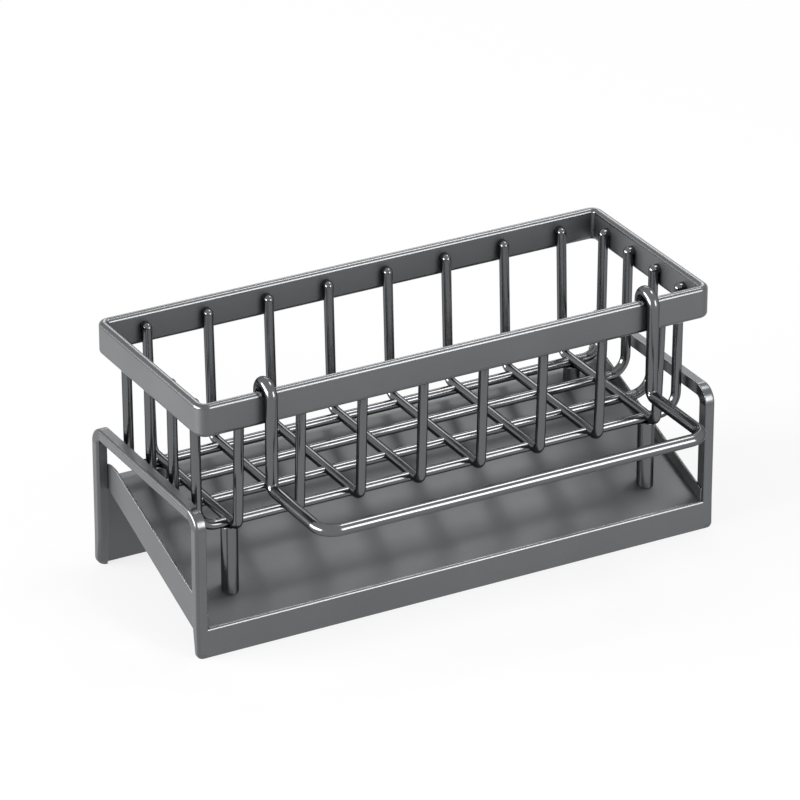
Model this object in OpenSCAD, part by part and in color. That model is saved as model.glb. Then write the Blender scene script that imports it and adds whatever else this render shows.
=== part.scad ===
// Kitchen sink caddy: a wire basket on four legs stands on a sloped drain tray between
// two side frames, and a bent towel bar hooks over the front of the basket's rim.
// X runs along the caddy, Y from front to back, and Z up from the counter.

/* [Stand] */
// Length of the stand over its side frames
stand_l = 255; // [230:1:320]
// Depth of the stand
stand_d = 100; // [90:1:120]
// Height of the side frames
stand_h = 68.2; // [60:0.2:85]
// Width of a side frame's bar along the caddy
frame_w = 5; // [4:0.1:7]
// Thickness of a side frame's bar
frame_t = 5.6; // [4:0.1:7]
// Outer radius of a side frame's upper corners
frame_corner_r = 8; // [7.5:0.5:12]
// Radius of the softened edges of a side frame's bar, on its outer side
frame_edge_r = 1.3; // [0.4:0.1:1.4]
// Radius of the edges on its inner side, where the tray is welded to it
frame_inner_edge_r = 0.4; // [0.2:0.1:0.8]
// Thickness of a side frame's foot
foot_t = 3; // [2:0.1:3.6]
// Height over which a foot tapers
foot_h = 15; // [8:1:20]
// Radius of the front feet's outer corner
front_foot_r = 2; // [1:0.1:2.6]
// Radius of the back feet's outer corner
back_foot_r = 4; // [2:0.1:4]

/* [Drain tray] */
// Thickness of the tray's sheet
sheet_t = 1; // [0.8:0.1:1.5]
// Height of the tray's front lip
lip_h = 13.4; // [11:0.1:20]
// Slope of the tray, up towards the back
tray_angle = 19.5; // [16:0.5:22]
// Radius of the lip's fold
lip_r = 1.6; // [1.6:0.1:3]
// Radius of the crest over which the tray folds down at the back
crest_r = 9.5; // [6:0.5:11]
// Thickness of a side wall
wall_t = 0.9; // [0.7:0.1:1.4]
// Height of a side wall above the tray's slope
wall_up = 5.8; // [4:0.1:8]
// Reach of a side wall below the tray's slope, at its front end
wall_down_front = 11.9; // [8:0.1:13]
// Reach of a side wall below the tray's slope, at its back end
wall_down_back = 9; // [6:0.1:10]

/* [Basket] */
// Height of the basket from the underside of its floor to the top of its rim
basket_h = 67.7; // [55:0.1:85]
// Gap from the tray's highest fold line up to the basket's floor
floor_gap = 1.2; // [0.8:0.1:6]
// Set-back of the rim from each end of the stand
rim_inset_x = 2.8; // [2:0.1:4]
// Set-back of the rim from the stand's front and back
rim_inset_y = 0.6; // [0:0.1:3]
// Height of the rim's band
rim_h = 14.9; // [12:0.1:18]
// Thickness of the rim's band
rim_t = 4; // [3.9:0.1:4.2]
// Outer radius of the rim's corners
rim_corner_r = 5.5; // [4.5:0.5:10]
// Radius that rounds the edges of the rim's band over almost all its thickness
rim_edge_r = 1.9; // [0.5:0.1:1.9]

/* [Wires] */
// Diameter of the basket's wires
wire_d = 4.5; // [3.6:0.1:4.6]
// Number of wires that cross the basket from front to back
cross_count = 8; // [5:1:9]
// Number of wires that run along the basket
long_count = 4; // [3:1:4]
// Distance from the rim's end to the axis of the first cross wire
end_margin = 21.8; // [20:0.1:26]
// Distance from the rim's front to the axis of the first long wire
side_margin = 17.1; // [16:0.1:20]
// Height by which the cross wires lie over the long wires, seated into them
wire_step = 1; // [1:0.1:2]
// Depth of the wires' upper ends below the top of the rim
wire_drop = 6.4; // [5:0.1:9]
// Gap from the rim's inner face to the axis of a cross wire
cross_standoff = 2.4; // [2.4:0.1:4.5]
// Gap from the rim's inner face to the axis of a long wire
long_standoff = 2.4; // [2.4:0.1:3.6]
// Distance by which a cross wire leans inwards from top to bottom
cross_lean = 2.5; // [0:0.1:4]
// Distance by which a long wire leans inwards from top to bottom
long_lean = 0.4; // [0:0.1:4]
// Centre radius of a cross wire's lower bends
cross_bend_r = 4; // [2.5:0.1:4.4]
// Centre radius of a long wire's lower bends
long_bend_r = 9; // [5:0.5:10]

/* [Basket legs] */
// Diameter of a leg
leg_d = 7.5; // [6:0.1:8.5]
// Depth of the saddle in a leg's top that holds the long wire
saddle = 0.6; // [0.2:0.1:0.9]
// Chamfer round a leg's top
leg_chamfer = 0.4; // [0.2:0.1:0.8]
// Gap between a leg's foot and the tray
leg_clear = 0.3; // [0.2:0.05:0.5]

/* [Towel bar] */
// Diameter of the towel bar's rod
towel_d = 5.5; // [4:0.1:6]
// Distance from the outermost cross wire to the hook beside it
hook_inset = 10.2; // [8:0.1:12]
// Gap between the hook's tail and the rim's inner face
hook_clear = 0.35; // [0.3:0.05:0.5]
// Distance between the hook's tail and its front leg
hook_w = 10.2; // [10.1:0.1:12]
// Centre radius of the hook's two bends over the rim
hook_r = 4.9; // [4.8:0.1:5]
// Height of the hook's centre below the top of the rim
hook_drop = 1.8; // [1.4:0.1:1.8]
// Length of the hook's straight tail behind the rim
tail_l = 10; // [6:0.5:14]
// Distance from the top of the rim down to the axis of the bar
towel_drop = 43.9; // [35:0.1:55]
// Distance from the hook's front leg out to the bar
towel_reach = 45.85; // [30:0.05:60]
// Centre radius of the bends where the legs turn forwards
knee_r = 3.4; // [3.2:0.1:6]
// Centre radius of the bar's two front corners
towel_corner_r = 8; // [5:0.5:14]

/* [Hidden] */
$fn = 32;
// Overrun of every cut
over = 1;
// Bends are this much thicker all round than the runs, which lap into them
hair = 0.01;
lap = 0.05;
// Radius left inside the sharp bend at a wire's upper end
tight = 0.05;
// Steps of the arc on a side wall's upper edge
wall_steps = 12;

// Stand
frame_x = stand_l / 2;
frame_in_x = frame_x - frame_w;
front_y = -stand_d / 2;
back_y = stand_d / 2;
rise = tan(tray_angle);
crest_z = lip_h + stand_d * rise;
wall_in_x = frame_in_x - wall_t;

// Basket
floor_z = crest_z + floor_gap;
rim_top = floor_z + basket_h;
rim_x = stand_l / 2 - rim_inset_x;
rim_y = stand_d / 2 - rim_inset_y;
rim_in_x = rim_x - rim_t;
rim_in_y = rim_y - rim_t;
wire_top = rim_top - wire_drop;
long_z = floor_z + wire_d / 2;
cross_z = long_z + wire_step;
cross_x = rim_x - end_margin;
long_y = rim_y - side_margin;
cross_pitch = 2 * cross_x / (cross_count - 1);
long_pitch = 2 * long_y / (long_count - 1);

// Towel bar
hook_x = cross_x - hook_inset;
tail_y = -rim_in_y + hook_clear + towel_d / 2;
hook_y = tail_y - hook_w;
hook_z = rim_top - hook_drop;
bar_y = hook_y - towel_reach;
bar_z = rim_top - towel_drop;

// The frame's origin is under the middle of the whole caddy, towel bar included
origin_y = (back_y + bar_y - towel_d / 2) / 2;

function unit(v) = v / norm(v);
function heading(v) = atan2(v[1], v[0]);
// Inner angle at corner c between its neighbours p and n
function inner_angle(p, c, n) = acos(unit(p - c) * unit(n - c));
// Length that a bend of radius r takes from each side of its corner
function taken(p, c, n, r) = r / tan(inner_angle(p, c, n) / 2);
function at(path, i) = path[(i + len(path)) % len(path)];

// Sweeps a profile along a flat path whose corners are bent to the given radii.
// The first child is the profile of the straight runs, and the second that of the bends.
// A profile's x points across the path in its plane, and its y points out of the plane.
module sweep(path, radii, closed = false) {
    last = len(path) - 1;
    trims = [
        for (i = [0:last])
            radii[i] == 0 ? 0 : taken(at(path, i - 1), path[i], at(path, i + 1), radii[i])
    ];
    for (i = [0:closed ? last : last - 1]) {
        a = path[i];
        b = at(path, i + 1);
        run = norm(b - a) - trims[i] - at(trims, i + 1);
        lap_a = trims[i] > 0 ? lap : 0;
        lap_b = at(trims, i + 1) > 0 ? lap : 0;
        if (run > lap)
            translate(a + unit(b - a) * (trims[i] - lap_a))
                rotate(heading(b - a))
                    rotate([90, 0, 90])
                        linear_extrude(run + lap_a + lap_b)
                            children(0);
    }
    for (i = [closed ? 0 : 1:closed ? last : last - 1])
        if (radii[i] > 0)
            bend(at(path, i - 1), path[i], at(path, i + 1), radii[i])
                children(1);
}

// Bends a round rod along a flat path
module rod(path, radii, d) {
    sweep(path, radii) {
        circle(d = d);
        circle(d = d + 2 * hair);
    }
}

// One bend of a swept path, at corner c between its neighbours p and n
module bend(p, c, n, r) {
    to_p = unit(p - c);
    to_n = unit(n - c);
    inner = inner_angle(p, c, n);
    centre = c + unit(to_p + to_n) * r / sin(inner / 2);
    left_turn = cross([to_p[0], to_p[1]], [to_n[0], to_n[1]]) < 0;
    start = left_turn ? c + to_p * r / tan(inner / 2) : c + to_n * r / tan(inner / 2);
    translate(centre)
        rotate(heading(start - centre))
            rotate_extrude(angle = 180 - inner)
                translate([r, 0])
                    children();
}

// Stands a flat shape up in the plane across the caddy, with its x along Y and its y along Z
module across() {
    rotate([90, 0, 90])
        children();
}

// Stands a flat shape up in the plane along the caddy, with its x along X and its y along Z
module along() {
    rotate([90, 0, 0])
        children();
}

// Moves the caddy so that the origin is under its middle
module from_origin() {
    translate([0, -origin_y, 0])
        children();
}

// Rectangle about the origin with rounded corners: upper_r at its top and lower_r below
module soft_rectangle(w, h, upper_r, lower_r) {
    translate([-w / 2, lower_r - h / 2])
        square([w, h - upper_r - lower_r]);
    translate([upper_r - w / 2, 0])
        square([w - 2 * upper_r, h / 2]);
    translate([lower_r - w / 2, -h / 2])
        square([w - 2 * lower_r, h / 2]);
    for (x = [-1, 1]) {
        translate([x * (w / 2 - upper_r), h / 2 - upper_r])
            circle(upper_r);
        translate([x * (w / 2 - lower_r), lower_r - h / 2])
            circle(lower_r);
    }
}

// One bent sheet: the front skirt, the slope, the crest and the back panel
module drain_tray() {
    half = sheet_t / 2;
    drop = half / cos(tray_angle);
    fold = [
        [front_y + half, 0],
        [front_y + half, lip_h + half * rise - drop],
        [back_y - half, crest_z - half * rise - drop],
        [back_y - half, 0]
    ];
    color("dimgray")
        from_origin()
            difference() {
                across()
                    sweep(fold, [0, lip_r - half, crest_r - half, 0]) {
                        square([sheet_t, 2 * frame_in_x], center = true);
                        square([sheet_t + 2 * hair, 2 * frame_in_x], center = true);
                    }
                // The side walls stand in these notches, between the front and back panels
                for (side = [0, 1])
                    mirror([side, 0, 0])
                        translate([wall_in_x, front_y + sheet_t + hair, -over])
                            cube([wall_t + over, stand_d - 2 * (sheet_t + hair), crest_z + 2 * over]);
            }
}

// A strip that closes the tray's end: it follows the slope and the crest,
// and reaches from below the sheet to above it
module side_wall() {
    front = front_y + sheet_t + hair;
    back = back_y - sheet_t - hair;
    // The upper edge goes round the crest's own centre
    centre = [back_y - crest_r, crest_z - crest_r / tan((90 - tray_angle) / 2)];
    upper_r = crest_r + wall_up * cos(tray_angle);
    start = 90 + tray_angle;
    end = acos((back - centre[0]) / upper_r);
    crest = [
        for (k = [0:wall_steps])
            let(turn = start + (end - start) * k / wall_steps)
                centre + upper_r * [cos(turn), sin(turn)]
    ];
    front_z = lip_h + (front - front_y) * rise;
    back_z = crest_z - (back_y - back) * rise;
    translate([wall_in_x, 0, 0])
        across()
            linear_extrude(wall_t)
                polygon(concat(
                    [[front, front_z - wall_down_front], [front, front_z + wall_up]],
                    crest,
                    [[back, back_z - wall_down_back]]
                ));
}

module left_side_wall() {
    color("gray")
        from_origin()
            mirror([1, 0, 0])
                side_wall();
}

module right_side_wall() {
    color("gray")
        from_origin()
            side_wall();
}

// Cuts the taper at the inner side of a foot, at the front of the stand
module foot_taper() {
    translate([frame_in_x - over, 0, 0])
        across()
            linear_extrude(frame_w + 2 * over)
                polygon([
                    [front_y + foot_t, -over],
                    [front_y + foot_t, 0],
                    [front_y + frame_t, foot_h],
                    [front_y + frame_t + over, foot_h],
                    [front_y + frame_t + over, -over]
                ]);
}

// Rounds a foot's outer lower corner, at the depth y
module foot_corner(y, r) {
    translate([frame_x - r, y + frame_t + over, r])
        along()
            linear_extrude(frame_t + 2 * over)
                difference() {
                    translate([0, -r - over])
                        square([r + over, r + over]);
                    circle(r);
                }
}

// A bar bent into a hoop: back leg, top rail and front leg
module side_frame() {
    half = frame_t / 2;
    hoop = [
        [back_y - half, 0],
        [back_y - half, stand_h - half],
        [front_y + half, stand_h - half],
        [front_y + half, 0]
    ];
    bend_r = frame_corner_r - half;
    difference() {
        translate([frame_x - frame_w / 2, 0, 0])
            across()
                sweep(hoop, [0, bend_r, bend_r, 0]) {
                    soft_rectangle(frame_t, frame_w, frame_edge_r, frame_inner_edge_r);
                    soft_rectangle(
                        frame_t + 2 * hair, frame_w + 2 * hair,
                        frame_edge_r + hair, frame_inner_edge_r + hair
                    );
                }
        foot_taper();
        mirror([0, 1, 0])
            foot_taper();
        foot_corner(front_y, front_foot_r);
        foot_corner(back_y - frame_t, back_foot_r);
    }
}

module left_side_frame() {
    color("gray")
        from_origin()
            mirror([1, 0, 0])
                side_frame();
}

module right_side_frame() {
    color("gray")
        from_origin()
            side_frame();
}

// The flat band that all the wires are welded to
module basket_rim() {
    mid_x = rim_x - rim_t / 2;
    mid_y = rim_y - rim_t / 2;
    corner = rim_corner_r - rim_t / 2;
    ring = [[mid_x, mid_y], [-mid_x, mid_y], [-mid_x, -mid_y], [mid_x, -mid_y]];
    color("slategray")
        from_origin()
            translate([0, 0, rim_top - rim_h / 2])
                sweep(ring, [corner, corner, corner, corner], closed = true) {
                    soft_rectangle(rim_t, rim_h, rim_edge_r, rim_edge_r);
                    soft_rectangle(
                        rim_t + 2 * hair, rim_h + 2 * hair,
                        rim_edge_r + hair, rim_edge_r + hair
                    );
                }
}

// A wire bent into a U, with short ends that turn sharply outwards to the rim's inner face
module u_wire(reach, standoff, lean, bottom, bend_r) {
    top = reach - standoff;
    foot = top - lean;
    tight_r = wire_d / 2 + tight;
    path = [
        [-reach, wire_top],
        [-top, wire_top],
        [-foot, bottom],
        [foot, bottom],
        [top, wire_top],
        [reach, wire_top]
    ];
    rod(path, [0, tight_r, bend_r, bend_r, tight_r, 0], wire_d);
}

function cross_place(i) = -cross_x + (i - 1) * cross_pitch;
function long_place(i) = -long_y + (i - 1) * long_pitch;

// Wire number i from the left, which crosses the basket from front to back
module cross_wire(i) {
    if (i <= cross_count)
        color("darkgray")
            from_origin()
                translate([cross_place(i), 0, 0])
                    across()
                        u_wire(rim_in_y, cross_standoff, cross_lean, cross_z, cross_bend_r);
}

// Wire number i from the front, which runs along the basket and has a seat for each cross wire
module long_wire(i) {
    if (i <= long_count)
        color("lightslategray")
            from_origin()
                translate([0, long_place(i), 0])
                    difference() {
                        along()
                            u_wire(rim_in_x, long_standoff, long_lean, long_z, long_bend_r);
                        for (k = [1:cross_count])
                            translate([cross_place(k), 0, cross_z])
                                rotate([90, 0, 0])
                                    cylinder(h = 2 * wire_d, d = wire_d, center = true);
                    }
}

module cross_wire_1() {
    cross_wire(1);
}

module cross_wire_2() {
    cross_wire(2);
}

module cross_wire_3() {
    cross_wire(3);
}

module cross_wire_4() {
    cross_wire(4);
}

module cross_wire_5() {
    cross_wire(5);
}

module cross_wire_6() {
    cross_wire(6);
}

module cross_wire_7() {
    cross_wire(7);
}

module cross_wire_8() {
    cross_wire(8);
}

module long_wire_1() {
    long_wire(1);
}

module long_wire_2() {
    long_wire(2);
}

module long_wire_3() {
    long_wire(3);
}

module long_wire_4() {
    long_wire(4);
}

// A round leg under a corner crossing of the floor, saddled under the long wire
// and cut to the tray's slope at its foot
module basket_leg(x_side, y_side) {
    top = floor_z + saddle;
    lift = leg_clear / cos(tray_angle);
    color("darkslategray")
        from_origin()
            difference() {
                translate([x_side * cross_x, y_side * long_y, 0]) {
                    cylinder(h = top - leg_chamfer, d = leg_d);
                    translate([0, 0, top - leg_chamfer])
                        cylinder(h = leg_chamfer, d1 = leg_d, d2 = leg_d - 2 * leg_chamfer);
                }
                across()
                    linear_extrude(stand_l, center = true)
                        polygon([
                            [front_y, -over],
                            [front_y, lip_h + lift],
                            [back_y, crest_z + lift],
                            [back_y, -over]
                        ]);
                translate([x_side * cross_x, y_side * long_y, long_z])
                    rotate([0, 90, 0])
                        cylinder(h = 2 * leg_d, d = wire_d, center = true);
            }
}

module front_left_leg() {
    basket_leg(-1, -1);
}

module front_right_leg() {
    basket_leg(1, -1);
}

module back_left_leg() {
    basket_leg(-1, 1);
}

module back_right_leg() {
    basket_leg(1, 1);
}

// One bent rod: two hooks over the rim, their legs, the arms and the bar in front
module towel_bar() {
    corner_y = bar_y + towel_corner_r;
    side = [
        [tail_y, hook_z - tail_l],
        [tail_y, hook_z + hook_r],
        [hook_y, hook_z + hook_r],
        [hook_y, bar_z],
        [corner_y - lap, bar_z]
    ];
    front = [[-hook_x, corner_y], [-hook_x, bar_y], [hook_x, bar_y], [hook_x, corner_y]];
    color("silver")
        from_origin() {
            for (x = [-hook_x, hook_x])
                translate([x, 0, 0])
                    across()
                        rod(side, [0, hook_r, hook_r, knee_r, 0], towel_d);
            translate([0, 0, bar_z])
                rod(front, [0, towel_corner_r, towel_corner_r, 0], towel_d);
        }
}

drain_tray();
left_side_wall();
right_side_wall();
left_side_frame();
right_side_frame();
basket_rim();
cross_wire_1();
cross_wire_2();
cross_wire_3();
cross_wire_4();
cross_wire_5();
cross_wire_6();
cross_wire_7();
cross_wire_8();
long_wire_1();
long_wire_2();
long_wire_3();
long_wire_4();
front_left_leg();
front_right_leg();
back_left_leg();
back_right_leg();
towel_bar();
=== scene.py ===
import math

import bmesh
import bpy
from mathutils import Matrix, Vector


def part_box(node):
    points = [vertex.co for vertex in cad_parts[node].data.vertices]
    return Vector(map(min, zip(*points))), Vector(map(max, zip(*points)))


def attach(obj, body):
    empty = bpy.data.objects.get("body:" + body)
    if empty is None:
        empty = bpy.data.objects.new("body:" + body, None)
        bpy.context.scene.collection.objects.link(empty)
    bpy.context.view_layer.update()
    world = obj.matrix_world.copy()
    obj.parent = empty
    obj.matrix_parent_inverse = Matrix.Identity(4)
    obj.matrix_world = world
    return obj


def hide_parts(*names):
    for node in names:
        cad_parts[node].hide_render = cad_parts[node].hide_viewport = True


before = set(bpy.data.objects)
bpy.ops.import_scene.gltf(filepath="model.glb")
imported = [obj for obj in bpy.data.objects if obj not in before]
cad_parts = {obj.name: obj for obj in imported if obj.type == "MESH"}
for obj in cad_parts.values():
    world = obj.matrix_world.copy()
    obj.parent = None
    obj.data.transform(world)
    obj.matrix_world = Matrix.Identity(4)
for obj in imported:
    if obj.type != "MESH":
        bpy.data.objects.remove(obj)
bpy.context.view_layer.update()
print("caddy: frame loaded,", len(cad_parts), "nodes")

scene = bpy.context.scene
scene.view_settings.view_transform = "Standard"


# A new object, put in the scene
def addObject(name, data):
    made = bpy.data.objects.new(name, data)
    scene.collection.objects.link(made)
    return made


# Camera, at the photograph's viewing angle
photoCamera = {
    "lens": 242.74,  # mm
    "sensor": 36,  # mm wide
    "reach": 50,  # m
    "place": (-1.01488, -1.81559, 1.10234),
    "pitch": 26.134,  # degrees down
    "yaw": 28.80,  # degrees to the right of +Y
}


def addCamera():
    data = bpy.data.cameras.new("photoCamera")
    data.lens = photoCamera["lens"]
    data.sensor_width = photoCamera["sensor"]
    data.clip_end = photoCamera["reach"]
    camera = addObject("photoCamera", data)
    camera.location = photoCamera["place"]
    tilt = math.radians(90 - photoCamera["pitch"])  # an unturned camera looks straight down
    camera.rotation_euler = (tilt, 0, -math.radians(photoCamera["yaw"]))
    scene.camera = camera


addCamera()


# Small helpers for node trees
def addSocket(tree, name, kind, start=None, outwards=False):
    made = tree.interface.new_socket(name, in_out="OUTPUT" if outwards else "INPUT", socket_type=kind)
    if start is not None:
        made.default_value = start


def addNode(tree, kind, **settings):
    node = tree.nodes.new(kind)
    for name, value in settings.items():
        setattr(node, name, value)
    return node


# A source is a socket to link or a plain value
def setInput(tree, target, source):
    if isinstance(source, bpy.types.NodeSocket):
        tree.links.new(source, target)
    else:
        target.default_value = source


# An underscore in an input's name stands for a space, and one at its end is dropped
def feed(tree, node, **sources):
    for name, source in sources.items():
        setInput(tree, node.inputs[name.replace("_", " ").strip()], source)


def reckon(tree, operation, first, second):
    node = addNode(tree, "ShaderNodeMath", operation=operation)
    setInput(tree, node.inputs[0], first)
    setInput(tree, node.inputs[1], second)
    return node.outputs[0]


# Satin grain: fine blasted grain with faint broad clouds
satinNoise = {
    "grainDetail": 2.0,
    "grainRoughness": 0.6,
    "cloudScale": 28.0,
    "cloudDetail": 3.0,
    "cloudRoughness": 0.5,
    "cloudShare": 0.35,  # of the variation in colour
    "low": 0.3,  # most of the noise lies between low and high
    "high": 0.7,
}


def makeSatinGroup():
    tree = bpy.data.node_groups.new("satinGrain", "ShaderNodeTree")
    addSocket(tree, "Grain Scale", "NodeSocketFloat")
    addSocket(tree, "Rough Low", "NodeSocketFloat")
    addSocket(tree, "Rough High", "NodeSocketFloat")
    addSocket(tree, "Dark", "NodeSocketColor")
    addSocket(tree, "Light", "NodeSocketColor")
    addSocket(tree, "Color", "NodeSocketColor", outwards=True)
    addSocket(tree, "Roughness", "NodeSocketFloat", outwards=True)
    addSocket(tree, "Height", "NodeSocketFloat", outwards=True)
    given = addNode(tree, "NodeGroupInput").outputs
    result = addNode(tree, "NodeGroupOutput")

    place = addNode(tree, "ShaderNodeTexCoord").outputs["Object"]
    grain = addNode(tree, "ShaderNodeTexNoise")
    feed(
        tree,
        grain,
        Vector=place,
        Scale=given["Grain Scale"],
        Detail=satinNoise["grainDetail"],
        Roughness=satinNoise["grainRoughness"],
    )
    clouds = addNode(tree, "ShaderNodeTexNoise")
    feed(
        tree,
        clouds,
        Vector=place,
        Scale=satinNoise["cloudScale"],
        Detail=satinNoise["cloudDetail"],
        Roughness=satinNoise["cloudRoughness"],
    )

    low, high = satinNoise["low"], satinNoise["high"]
    tone = addNode(tree, "ShaderNodeMix", data_type="FLOAT")
    feed(tree, tone, Factor=satinNoise["cloudShare"], A=grain.outputs[0], B=clouds.outputs[0])
    spread = addNode(tree, "ShaderNodeMapRange")
    feed(tree, spread, Value=tone.outputs[0], From_Min=low, From_Max=high)
    color = addNode(tree, "ShaderNodeMix", data_type="RGBA")
    feed(tree, color, Factor=spread.outputs[0])
    setInput(tree, color.inputs[6], given["Dark"])  # its colour sockets A and B
    setInput(tree, color.inputs[7], given["Light"])
    rough = addNode(tree, "ShaderNodeMapRange")
    feed(
        tree,
        rough,
        Value=clouds.outputs[0],
        From_Min=low,
        From_Max=high,
        To_Min=given["Rough Low"],
        To_Max=given["Rough High"],
    )
    feed(tree, result, Color=color.outputs[2], Roughness=rough.outputs[0], Height=grain.outputs[0])
    return tree


satinGroup = makeSatinGroup()


def makeSteel(name, look):
    material = bpy.data.materials.new(name)
    material.use_nodes = True
    tree = material.node_tree
    dark = [channel * (1 - look["variation"]) for channel in look["tone"]]
    light = [channel * (1 + look["variation"]) for channel in look["tone"]]
    satin = addNode(tree, "ShaderNodeGroup", node_tree=satinGroup)
    feed(
        tree,
        satin,
        Grain_Scale=look["grainScale"],
        Rough_Low=look["rough"][0],
        Rough_High=look["rough"][1],
        Dark=(*dark, 1.0),
        Light=(*light, 1.0),
    )
    rough = satin.outputs["Roughness"]
    if "rubbedRough" in look:
        edgeMask = addNode(tree, "ShaderNodeAttribute", attribute_name="rubbedEdge")
        mixed = addNode(tree, "ShaderNodeMix", data_type="FLOAT")
        feed(tree, mixed, Factor=edgeMask.outputs["Fac"], A=rough, B=look["rubbedRough"])
        rough = mixed.outputs[0]
    bump = addNode(tree, "ShaderNodeBump")
    feed(tree, bump, Height=satin.outputs["Height"], Strength=look["bump"], Distance=look["bumpDepth"])
    feed(
        tree,
        tree.nodes["Principled BSDF"],
        Base_Color=satin.outputs["Color"],
        Roughness=rough,
        Normal=bump.outputs["Normal"],
        Metallic=1.0,
        Specular_Tint=(*look["edgeTone"], 1.0),
    )
    return material


# Finishes: one gunmetal coating, rougher on the sheet metal and the rim, and glossier on the rods.
# Where a finish has rubbed edges, the narrow faces that round an edge are glossier than the rest.
rodFinish = {
    "tone": (0.132, 0.135, 0.139),
    "variation": 0.04,
    "rough": (0.15, 0.19),
    "grainScale": 2300.0,
    "bump": 0.05,
    "bumpDepth": 0.00003,
    "edgeTone": (0.4, 0.4, 0.4),  # of what it reflects at a glancing angle
}
finishes = {
    "stand_steel": {
        "tone": (0.126, 0.130, 0.133),
        "variation": 0.06,
        "rough": (0.44, 0.50),
        "rubbedRough": 0.25,
        "rubbedUpright": True,
        "grainScale": 1700.0,
        "bump": 0.12,
        "bumpDepth": 0.00005,
        "edgeTone": (1.0, 1.0, 1.0),
    },
    "rim_steel": {
        "tone": (0.122, 0.126, 0.129),
        "variation": 0.05,
        "rough": (0.42, 0.48),
        "rubbedRough": 0.25,
        "rubbedUpright": False,  # so the strips that turn its flat sides round a corner stay satin
        "grainScale": 1900.0,
        "bump": 0.08,
        "bumpDepth": 0.00005,
        "edgeTone": (1.0, 1.0, 1.0),
    },
    "wire_steel": rodFinish,
    "leg_steel": {
        "tone": (0.132, 0.136, 0.140),
        "variation": 0.05,
        "rough": (0.20, 0.25),
        "grainScale": 2100.0,
        "bump": 0.06,
        "bumpDepth": 0.00004,
        "edgeTone": (0.4, 0.4, 0.4),
    },
    "bar_steel": rodFinish,
}
steels = {slot: makeSteel(slot, look) for slot, look in finishes.items()}
print("caddy: materials made,", len(steels))


# Bent bar: a path of straight runs with filleted corners, swept with a round or soft-edged flat profile
barInputs = {
    "Depth": ("NodeSocketFloat", 0.004),  # along Side, or the diameter of a round bar
    "Thickness": ("NodeSocketFloat", 0.004),  # across Side
    "Edge Radius": ("NodeSocketFloat", 0.0005),
    "Other Edge Radius": ("NodeSocketFloat", 0.0005),  # of the two edges that face against Side
    "Edge Steps": ("NodeSocketInt", 4),
    "Round": ("NodeSocketBool", True),
    "Sides": ("NodeSocketInt", 32),
    "Bend Steps": ("NodeSocketInt", 12),
    "Side": ("NodeSocketVector", (0.0, 0.0, 1.0)),
    "Finish": ("NodeSocketMaterial", None),
}
samePlace = 0.000002  # points that lie closer together are merged


def makeBarTree():
    tree = bpy.data.node_groups.new("bentBar", "GeometryNodeTree")
    addSocket(tree, "Geometry", "NodeSocketGeometry", outwards=True)
    addSocket(tree, "Geometry", "NodeSocketGeometry")
    for name, (kind, start) in barInputs.items():
        addSocket(tree, name, kind, start)
    given = addNode(tree, "NodeGroupInput").outputs
    result = addNode(tree, "NodeGroupOutput")

    path = addNode(tree, "GeometryNodeMeshToCurve")
    feed(tree, path, Mesh=given["Geometry"])
    bend = addNode(tree, "GeometryNodeInputNamedAttribute", data_type="FLOAT")
    feed(tree, bend, Name="bend")
    corners = addNode(tree, "GeometryNodeFilletCurve", mode="POLY")
    feed(tree, corners, Curve=path.outputs[0], Count=given["Bend Steps"], Radius=bend.outputs[0])
    aligned = addNode(tree, "GeometryNodeSetCurveNormal", mode="FREE")
    feed(tree, aligned, Curve=corners.outputs[0], Normal=given["Side"])
    turned = addNode(tree, "GeometryNodeSwitch", input_type="GEOMETRY")
    feed(tree, turned, Switch=given["Round"], False_=aligned.outputs[0], True_=corners.outputs[0])

    flat = addNode(tree, "GeometryNodeCurvePrimitiveQuadrilateral")
    feed(tree, flat, Width=given["Depth"], Height=given["Thickness"])
    place = addNode(tree, "ShaderNodeSeparateXYZ")
    feed(tree, place, Vector=addNode(tree, "GeometryNodeInputPosition").outputs[0])
    onOtherSide = addNode(tree, "FunctionNodeCompare", data_type="FLOAT", operation="LESS_THAN")
    feed(tree, onOtherSide, A=place.outputs[0], B=0.0)
    edgeRadius = addNode(tree, "GeometryNodeSwitch", input_type="FLOAT")
    feed(
        tree,
        edgeRadius,
        Switch=onOtherSide.outputs[0],
        False_=given["Edge Radius"],
        True_=given["Other Edge Radius"],
    )
    soft = addNode(tree, "GeometryNodeFilletCurve", mode="POLY")
    feed(tree, soft, Curve=flat.outputs[0], Count=given["Edge Steps"], Radius=edgeRadius.outputs[0])
    ring = addNode(tree, "GeometryNodeCurvePrimitiveCircle")
    feed(tree, ring, Resolution=given["Sides"], Radius=reckon(tree, "MULTIPLY", given["Depth"], 0.5))
    profile = addNode(tree, "GeometryNodeSwitch", input_type="GEOMETRY")
    feed(tree, profile, Switch=given["Round"], False_=soft.outputs[0], True_=ring.outputs[0])

    swept = addNode(tree, "GeometryNodeCurveToMesh")
    feed(tree, swept, Curve=turned.outputs[0], Profile_Curve=profile.outputs[0], Fill_Caps=True)
    clean = addNode(tree, "GeometryNodeMergeByDistance")
    feed(tree, clean, Geometry=swept.outputs[0], Distance=samePlace)
    real = addNode(tree, "GeometryNodeRealizeInstances")
    feed(tree, real, Geometry=clean.outputs[0])
    coated = addNode(tree, "GeometryNodeSetMaterial")
    feed(tree, coated, Geometry=real.outputs[0], Material=given["Finish"])
    feed(tree, result, Geometry=coated.outputs[0])
    return tree


barTree = makeBarTree()


def pathObject(name, points, bends, closed=False):
    mesh = bpy.data.meshes.new(name)
    edges = [(i, i + 1) for i in range(len(points) - 1)]
    if closed:
        edges.append((len(points) - 1, 0))
    mesh.from_pydata([tuple(point) for point in points], edges, [])
    attribute = mesh.attributes.new("bend", "FLOAT", "POINT")
    attribute.data.foreach_set("value", bends)
    return addObject(name, mesh)


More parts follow.
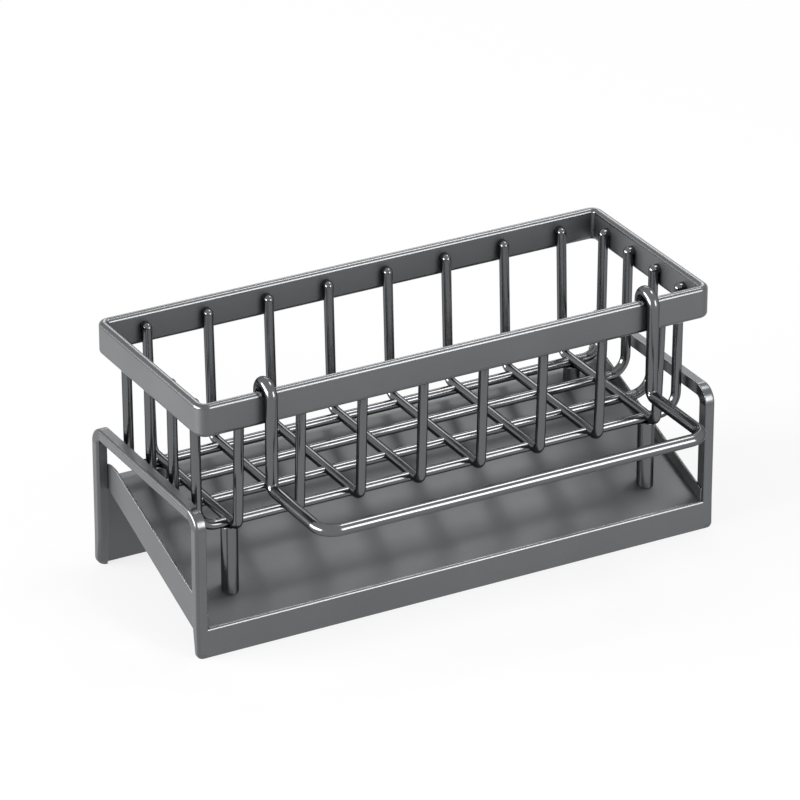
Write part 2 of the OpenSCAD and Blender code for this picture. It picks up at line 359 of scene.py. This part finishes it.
def evaluatedMesh(source):
    graph = bpy.context.evaluated_depsgraph_get()
    mesh = bpy.data.meshes.new_from_object(source.evaluated_get(graph))
    old = source.data
    bpy.data.objects.remove(source)
    bpy.data.meshes.remove(old)
    return mesh


def runTree(source, tree, values):
    modifier = source.modifiers.new("made", "NODES")
    modifier.node_group = tree
    for item in tree.interface.items_tree:
        if item.in_out == "INPUT" and item.name in values:
            modifier[item.identifier] = values[item.name]
    return evaluatedMesh(source)


def bentMesh(name, points, bends, values, closed=False):
    return runTree(pathObject(name, points, bends, closed), barTree, values)


# Softens a mesh's sharp edges, and keeps its flat faces flat in the shading
def finishedMesh(name, mesh, edge=0.0, steps=3, edgeAngle=50, sharpAngle=40):
    mesh.shade_smooth()
    holder = addObject(name, mesh)
    if edge > 0:
        bevel = holder.modifiers.new("soft edges", "BEVEL")
        bevel.width = edge
        bevel.segments = steps
        bevel.limit_method = "ANGLE"
        bevel.angle_limit = math.radians(edgeAngle)
        bevel.miter_outer = "MITER_ARC"
    softened = evaluatedMesh(holder)
    softened.set_sharp_from_angle(angle=math.radians(sharpAngle))
    holder = addObject(name, softened)
    weighted = holder.modifiers.new("flat shading", "WEIGHTED_NORMAL")
    weighted.keep_sharp = True
    weighted.weight = 100  # the largest faces set the normals
    return evaluatedMesh(holder)


# Rubbed edges: a mask of the narrow faces that round an edge
rubbedFaces = {
    "widest": 0.0008,  # m
    "uprightLimit": 0.02,  # the normal of an upright face has no more than this along z
}


def markRubbedEdges(mesh, upright):
    mask = mesh.attributes.new("rubbedEdge", "FLOAT", "FACE")
    points = mesh.vertices
    for face in mesh.polygons:
        longest = max((points[first].co - points[last].co).length for first, last in face.edge_keys)
        narrow = face.area < rubbedFaces["widest"] * longest
        counted = upright or abs(face.normal.z) > rubbedFaces["uprightLimit"]
        mask.data[face.index].value = 1.0 if narrow and counted else 0.0


# Every piece is one plain mesh that rides on its body and stands for its CAD node
def addPiece(name, mesh, body, slot, *nodes):
    if not mesh.materials:
        mesh.materials.append(steels[slot])
    mesh.name = name
    if "rubbedRough" in finishes[slot]:
        markRubbedEdges(mesh, finishes[slot]["rubbedUpright"])
    piece = addObject(name, mesh)
    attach(piece, body)
    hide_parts(*nodes)


# Path with its corners rounded: each corner is (point, radius), and a point has two coordinates
def roundedPath(corners, steps):
    made = []
    for i, (corner, radius) in enumerate(corners):
        corner = Vector(corner)
        if radius <= 0:
            made.append(corner)
            continue
        before = (Vector(corners[i - 1][0]) - corner).normalized()
        after = (Vector(corners[i + 1][0]) - corner).normalized()
        halfAngle = before.angle(after) / 2
        centre = corner + (before + after).normalized() * radius / math.sin(halfAngle)
        start = corner + before * radius / math.tan(halfAngle) - centre
        end = corner + after * radius / math.tan(halfAngle) - centre
        whole = start.angle(end)
        for k in range(steps + 1):
            turn = whole * k / steps
            made.append(centre + (start * math.sin(whole - turn) + end * math.sin(turn)) / math.sin(whole))
    return made


# Faces between two rings with as many points each
def bridge(shape, lower, upper):
    for k in range(len(lower)):
        after = (k + 1) % len(lower)
        shape.faces.new((lower[k], lower[after], upper[after], upper[k]))


def writtenMesh(name, shape):
    mesh = bpy.data.meshes.new(name)
    shape.to_mesh(mesh)
    shape.free()
    return mesh


# Basket rim: a closed flat band with rounded corners
rim = {
    "thick": 0.004,
    "cornerRadius": 0.0055,
    "edgeRadius": 0.0019,
    "edgeSteps": 10,
    "bendSteps": 16,
}

rimLow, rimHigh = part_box("basket_rim")


def makeRim():
    half = rim["thick"] / 2
    z = (rimLow.z + rimHigh.z) / 2
    x, yFront, yBack = rimHigh.x - half, rimLow.y + half, rimHigh.y - half
    bend = rim["cornerRadius"] - half
    mesh = bentMesh(
        "basketRim",
        [(-x, yFront, z), (x, yFront, z), (x, yBack, z), (-x, yBack, z)],
        [bend] * 4,
        {
            "Depth": rimHigh.z - rimLow.z,
            "Thickness": rim["thick"],
            "Edge Radius": rim["edgeRadius"],
            "Other Edge Radius": rim["edgeRadius"],
            "Edge Steps": rim["edgeSteps"],
            "Round": False,
            "Bend Steps": rim["bendSteps"],
            "Side": (0.0, 0.0, 1.0),
            "Finish": steels["rim_steel"],
        },
        closed=True,
    )
    addPiece("basketRim", finishedMesh("basketRim", mesh), "basket", "rim_steel", "basket_rim")


makeRim()
print("caddy: rim made")


# Basket wires, each bent into a U with its ends turned out to the rim
wires = {
    "diameter": 0.0045,
    "topBend": 0.0003,  # all but a mitred elbow
    "sides": 32,
    "bendSteps": 12,
    "crossCount": 8,
    "crossStandoff": 0.0024,  # from an end to the upright part
    "crossLean": 0.0025,  # of the upright part, inwards on its way down
    "crossBend": 0.004,
    "longCount": 4,
    "longStandoff": 0.0024,
    "longLean": 0.0004,
    "longBend": 0.009,
}


def makeWire(name, node, kind, along):
    low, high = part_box(node)
    radius = wires["diameter"] / 2
    across = 1 - along
    middle = (low[across] + high[across]) / 2
    reachLow, reachHigh = low[along], high[along]
    top, bottom = high.z - radius, low.z + radius
    standoff, lean = wires[kind + "Standoff"], wires[kind + "Lean"]
    stations = [
        (reachLow, top),
        (reachLow + standoff, top),
        (reachLow + standoff + lean, bottom),
        (reachHigh - standoff - lean, bottom),
        (reachHigh - standoff, top),
        (reachHigh, top),
    ]
    points = []
    for run, height in stations:
        point = [0.0, 0.0, height]
        point[along] = run
        point[across] = middle
        points.append(point)
    bends = [0.0, wires["topBend"], wires[kind + "Bend"], wires[kind + "Bend"], wires["topBend"], 0.0]
    mesh = bentMesh(
        name,
        points,
        bends,
        {
            "Depth": wires["diameter"],
            "Sides": wires["sides"],
            "Bend Steps": wires["bendSteps"],
            "Finish": steels["wire_steel"],
        },
    )
    addPiece(name, finishedMesh(name, mesh), "basket", "wire_steel", node)


for number in range(1, wires["crossCount"] + 1):
    makeWire(f"crossWire{number}", f"cross_wire_{number}", "cross", 1)
for number in range(1, wires["longCount"] + 1):
    makeWire(f"longWire{number}", f"long_wire_{number}", "long", 0)
print("caddy: wires made")


# Towel bar: one rod with two hooks over the rim's front
towel = {
    "diameter": 0.0055,
    "hookWidth": 0.0102,
    "hookRadius": 0.0049,
    "tail": 0.010,  # straight part of the hook's tail
    "knee": 0.0034,
    "corner": 0.008,
    "endRounding": 0.0012,
    "endSteps": 4,
    "sides": 40,
    "bendSteps": 16,
}


def makeTowelBar():
    low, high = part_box("towel_bar")
    radius = towel["diameter"] / 2
    x = high.x - radius
    yBar = low.y + radius
    yTail = high.y - radius
    yLeg = yTail - towel["hookWidth"]
    zTop, zBar = high.z - radius, low.z + radius
    zTail = zTop - towel["hookRadius"] - towel["tail"]
    side = [
        (yTail, zTail, 0.0),
        (yTail, zTop, towel["hookRadius"]),
        (yLeg, zTop, towel["hookRadius"]),
        (yLeg, zBar, towel["knee"]),
        (yBar, zBar, towel["corner"]),
    ]
    left = [((-x, y, z), bend) for y, z, bend in side]
    right = [((x, y, z), bend) for y, z, bend in reversed(side)]
    points = [point for point, bend in left + right]
    bends = [bend for point, bend in left + right]
    mesh = bentMesh(
        "towelBar",
        points,
        bends,
        {
            "Depth": towel["diameter"],
            "Sides": towel["sides"],
            "Bend Steps": towel["bendSteps"],
            "Finish": steels["bar_steel"],
        },
    )
    mesh = finishedMesh("towelBar", mesh, edge=towel["endRounding"], steps=towel["endSteps"])
    addPiece("towelBar", mesh, "towel_bar", "bar_steel", "towel_bar")


makeTowelBar()
print("caddy: towel bar made")


# The tray's slope, which the side walls and the legs' feet follow
traySlope = math.radians(19.5)
trayRise = math.tan(traySlope)

# Basket legs: round rods, chamfered at the top and cut to the tray's slope at the foot
legs = {
    "chamfer": 0.0004,
    "sides": 48,
    "edgeShare": 1 / 3,  # how far its edges are softened, as a share of the chamfer
    "edgeAngle": 30,  # degrees
    "sharpAngle": 60,
}


def makeLeg(name, node):
    low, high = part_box(node)
    middle = (low + high) / 2
    radius = (high.x - low.x) / 2
    levels = [
        (radius, low.z, trayRise),
        (radius, high.z - legs["chamfer"], 0.0),
        (radius - legs["chamfer"], high.z, 0.0),
    ]
    shape = bmesh.new()
    rings = []
    for reach, height, slant in levels:
        ring = []
        for k in range(legs["sides"]):
            turn = 2 * math.pi * k / legs["sides"]
            x, y = reach * math.cos(turn), reach * math.sin(turn)
            ring.append(shape.verts.new((middle.x + x, middle.y + y, height + (y + reach) * slant)))
        rings.append(ring)
    for lower, upper in zip(rings, rings[1:]):
        bridge(shape, lower, upper)
    shape.faces.new(reversed(rings[0]))
    shape.faces.new(rings[-1])
    mesh = finishedMesh(
        name,
        writtenMesh(name, shape),
        edge=legs["chamfer"] * legs["edgeShare"],
        edgeAngle=legs["edgeAngle"],
        sharpAngle=legs["sharpAngle"],
    )
    addPiece(name, mesh, "basket", "leg_steel", node)


for end in ("front", "back"):
    for side in ("Left", "Right"):
        makeLeg(f"{end}{side}Leg", f"{end}_{side.lower()}_leg")
print("caddy: legs made")


# Drain tray: one bent sheet with a front skirt, a lip, a slope, a crest and a back panel
tray = {
    "sheet": 0.001,
    "lipHeight": 0.0134,
    "lipRadius": 0.0016,
    "crestRadius": 0.0095,
    "arcSteps": 14,
    "weld": 0.0004,  # the skirt and the back panel fill the soft inner edges of the side frames
}
wall = {
    "thick": 0.0009,
    "up": 0.0058,
    "downFront": 0.0119,
    "downBack": 0.009,
    "gap": 0.00001,
    "arcSteps": 20,
    "edge": 0.0002,
}

trayLow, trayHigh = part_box("drain_tray")
crestHeight = tray["lipHeight"] + (trayHigh.y - trayLow.y) * trayRise


def makeTray():
    half = tray["sheet"] / 2
    drop = half / math.cos(traySlope)
    stations = roundedPath(
        [
            ((trayLow.y + half, 0.0), 0.0),
            ((trayLow.y + half, tray["lipHeight"] + half * trayRise - drop), tray["lipRadius"] - half),
            ((trayHigh.y - half, crestHeight - half * trayRise - drop), tray["crestRadius"] - half),
            ((trayHigh.y - half, 0.0), 0.0),
        ],
        tray["arcSteps"],
    )
    # The side walls stand where the sheet's ends are notched
    notch = trayHigh.x - wall["thick"]
    end = trayHigh.x + tray["weld"]
    columns = (-end, -notch, notch, end)
    inFront, behind = trayLow.y + tray["sheet"], trayHigh.y - tray["sheet"]
    shape = bmesh.new()
    rows = [[shape.verts.new((x, y, z)) for x in columns] for y, z in stations]
    for lower, upper in zip(rows, rows[1:]):
        y = (lower[0].co.y + upper[0].co.y) / 2
        strips = (0, 1, 2) if y < inFront or y > behind else (1,)
        for k in strips:
            shape.faces.new((lower[k], lower[k + 1], upper[k + 1], upper[k]))
    loose = [vertex for vertex in shape.verts if not vertex.link_faces]
    bmesh.ops.delete(shape, geom=loose, context="VERTS")
    holder = addObject("drainTray", writtenMesh("drainTray", shape))
    plate = holder.modifiers.new("sheet", "SOLIDIFY")
    plate.thickness = tray["sheet"]
    plate.offset = 0
    plate.use_even_offset = True
    mesh = finishedMesh("drainTray", evaluatedMesh(holder))
    addPiece("drainTray", mesh, "stand", "stand_steel", "drain_tray")


makeTray()


# Side wall: a strip that follows the slope and the crest, above and below the sheet
def makeWall(name, node):
    low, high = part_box(node)
    front = trayLow.y + tray["sheet"] + wall["gap"]
    back = trayHigh.y - tray["sheet"] - wall["gap"]
    radius = tray["crestRadius"]
    centre = Vector((trayHigh.y - radius, crestHeight - radius / math.tan((math.pi / 2 - traySlope) / 2)))
    upper = radius + wall["up"] * math.cos(traySlope)
    start = math.pi / 2 + traySlope
    end = math.acos((back - centre.x) / upper)
    frontHeight = tray["lipHeight"] + (front - trayLow.y) * trayRise
    backHeight = crestHeight - (trayHigh.y - back) * trayRise
    outline = [(front, frontHeight - wall["downFront"]), (front, frontHeight + wall["up"])]
    for k in range(wall["arcSteps"] + 1):
        turn = start + (end - start) * k / wall["arcSteps"]
        outline.append((centre.x + upper * math.cos(turn), centre.y + upper * math.sin(turn)))
    outline.append((back, backHeight - wall["downBack"]))
    shape = bmesh.new()
    near = [shape.verts.new((low.x, y, z)) for y, z in outline]
    far = [shape.verts.new((high.x, y, z)) for y, z in outline]
    shape.faces.new(near)
    shape.faces.new(reversed(far))
    bridge(shape, far, near)
    bmesh.ops.recalc_face_normals(shape, faces=shape.faces)
    mesh = finishedMesh(name, writtenMesh(name, shape), edge=wall["edge"])
    addPiece(name, mesh, "stand", "stand_steel", node)


makeWall("leftSideWall", "left_side_wall")
makeWall("rightSideWall", "right_side_wall")
print("caddy: tray and side walls made")


# Side frames: a flat bar bent into a hoop, with tapered feet and rounded outer corners
hoop = {
    "wide": 0.005,  # along the caddy
    "thick": 0.0056,
    "cornerRadius": 0.008,
    "outerEdgeRadius": 0.0013,
    "innerEdgeRadius": 0.0004,
    "edgeSteps": 6,
    "bendSteps": 16,
    "footThick": 0.003,
    "footHeight": 0.015,
    "frontFootRadius": 0.002,
    "backFootRadius": 0.004,
    "footLevelShares": (0.04, 0.15, 0.3, 0.5, 0.72, 1.0),
}


def shapeFeet(mesh, low, high, outwards):
    shape = bmesh.new()
    shape.from_mesh(mesh)
    radii = (hoop["frontFootRadius"], hoop["backFootRadius"])
    levels = {radius * level for radius in radii for level in hoop["footLevelShares"]}
    for level in sorted(levels) + [hoop["footHeight"]]:
        everything = list(shape.verts) + list(shape.edges) + list(shape.faces)
        bmesh.ops.bisect_plane(shape, geom=everything, plane_co=(0, 0, level), plane_no=(0, 0, 1))
    middle = (low.y + high.y) / 2
    inner = low.x if outwards > 0 else high.x
    for vertex in shape.verts:
        x, y, z = vertex.co
        face = low.y if y < middle else high.y
        radius = radii[0] if y < middle else radii[1]
        if z < hoop["footHeight"]:
            thick = hoop["footThick"] + (hoop["thick"] - hoop["footThick"]) * z / hoop["footHeight"]
            vertex.co.y = face + (y - face) * thick / hoop["thick"]
        if z < radius:
            lost = radius - math.sqrt(max(0.0, radius**2 - (radius - z) ** 2))
            vertex.co.x = inner + (x - inner) * (hoop["wide"] - lost) / hoop["wide"]
    shape.to_mesh(mesh)
    shape.free()


def makeSideFrame(name, node, outwards):
    low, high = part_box(node)
    half = hoop["thick"] / 2
    bend = hoop["cornerRadius"] - half
    x = (low.x + high.x) / 2
    yFront, yBack, zTop = low.y + half, high.y - half, high.z - half
    mesh = bentMesh(
        name,
        [(x, yBack, 0.0), (x, yBack, zTop), (x, yFront, zTop), (x, yFront, 0.0)],
        [0.0, bend, bend, 0.0],
        {
            "Depth": hoop["wide"],
            "Thickness": hoop["thick"],
            "Edge Radius": hoop["outerEdgeRadius"],
            "Other Edge Radius": hoop["innerEdgeRadius"],
            "Edge Steps": hoop["edgeSteps"],
            "Round": False,
            "Bend Steps": hoop["bendSteps"],
            "Side": (float(outwards), 0.0, 0.0),
            "Finish": steels["stand_steel"],
        },
    )
    shapeFeet(mesh, low, high, outwards)
    addPiece(name, finishedMesh(name, mesh), "stand", "stand_steel", node)


makeSideFrame("leftSideFrame", "left_side_frame", -1)
makeSideFrame("rightSideFrame", "right_side_frame", 1)
print("caddy: side frames made")


# Floor, world and lamps
studio = {
    "floorSize": 6.0,
    "floorTone": (0.82, 0.82, 0.82, 1.0),
    "floorWhite": 0.8,  # share of plain white in what the camera and the metal see of the floor
    "fill": 0.4,  # strength of the world's light on matte surfaces
    "aimHeight": 0.06,  # the lamps point at the caddy's middle
}


def seenDirectly(tree):
    # 1 where a ray comes from the camera, from a reflection or through glass
    rays = addNode(tree, "ShaderNodeLightPath").outputs
    cameraOrGloss = reckon(tree, "MAXIMUM", rays["Is Camera Ray"], rays["Is Glossy Ray"])
    return reckon(tree, "MAXIMUM", cameraOrGloss, rays["Is Transmission Ray"])


def makeFloorPaint():
    material = bpy.data.materials.new("paleFloor")
    material.use_nodes = True
    tree = material.node_tree
    tree.nodes.clear()
    matte = addNode(tree, "ShaderNodeBsdfDiffuse")
    feed(tree, matte, Color=studio["floorTone"])
    white = addNode(tree, "ShaderNodeEmission")
    share = reckon(tree, "MULTIPLY", seenDirectly(tree), studio["floorWhite"])
    mixed = addNode(tree, "ShaderNodeMixShader")
    for target, source in zip(mixed.inputs, (share, matte.outputs[0], white.outputs[0])):
        setInput(tree, target, source)
    output = addNode(tree, "ShaderNodeOutputMaterial")
    feed(tree, output, Surface=mixed.outputs[0])
    return material


def makeFloor():
    mesh = bpy.data.meshes.new("floor")
    half = studio["floorSize"] / 2
    corners = [(-half, -half, 0), (half, -half, 0), (half, half, 0), (-half, half, 0)]
    mesh.from_pydata(corners, [], [(0, 1, 2, 3)])
    mesh.materials.append(makeFloorPaint())
    floor = addObject("floor", mesh)


def makeWorld():
    world = bpy.data.worlds.new("studio")
    scene.world = world
    world.use_nodes = True
    tree = world.node_tree
    strength = addNode(tree, "ShaderNodeMapRange")
    feed(tree, strength, Value=seenDirectly(tree), To_Min=studio["fill"])
    feed(tree, tree.nodes["Background"], Color=(1, 1, 1, 1), Strength=strength.outputs[0])


makeFloor()
makeWorld()


# Lamps: soft boxes that face the caddy
lamps = {
    "over": {"place": (0.52, 0.04, 1.13), "size": (0.34, 0.32), "watts": 3.7},
    "front": {"place": (0.60, -1.24, 0.30), "size": (0.55, 0.35), "watts": 5.6},
    "frontHigh": {"place": (0.57, -1.15, 0.60), "size": (0.55, 0.35), "watts": 4.8},
    "left": {"place": (-2.0, 0.45, 0.42), "size": (2.4, 0.8), "watts": 124},
    "back": {"place": (0.60, 1.05, 0.75), "size": (0.6, 0.3), "watts": 2.5},
}


def addLamp(name, lamp):
    data = bpy.data.lights.new(name, "AREA")
    data.shape = "RECTANGLE"
    data.size, data.size_y = lamp["size"]
    data.energy = lamp["watts"]
    item = addObject(name, data)
    item.location = lamp["place"]
    item.visible_camera = False
    aim = Vector((0, 0, studio["aimHeight"])) - Vector(lamp["place"])
    item.rotation_euler = aim.to_track_quat("-Z", "Y").to_euler()


for name, lamp in lamps.items():
    addLamp(name, lamp)
print("caddy: studio made")
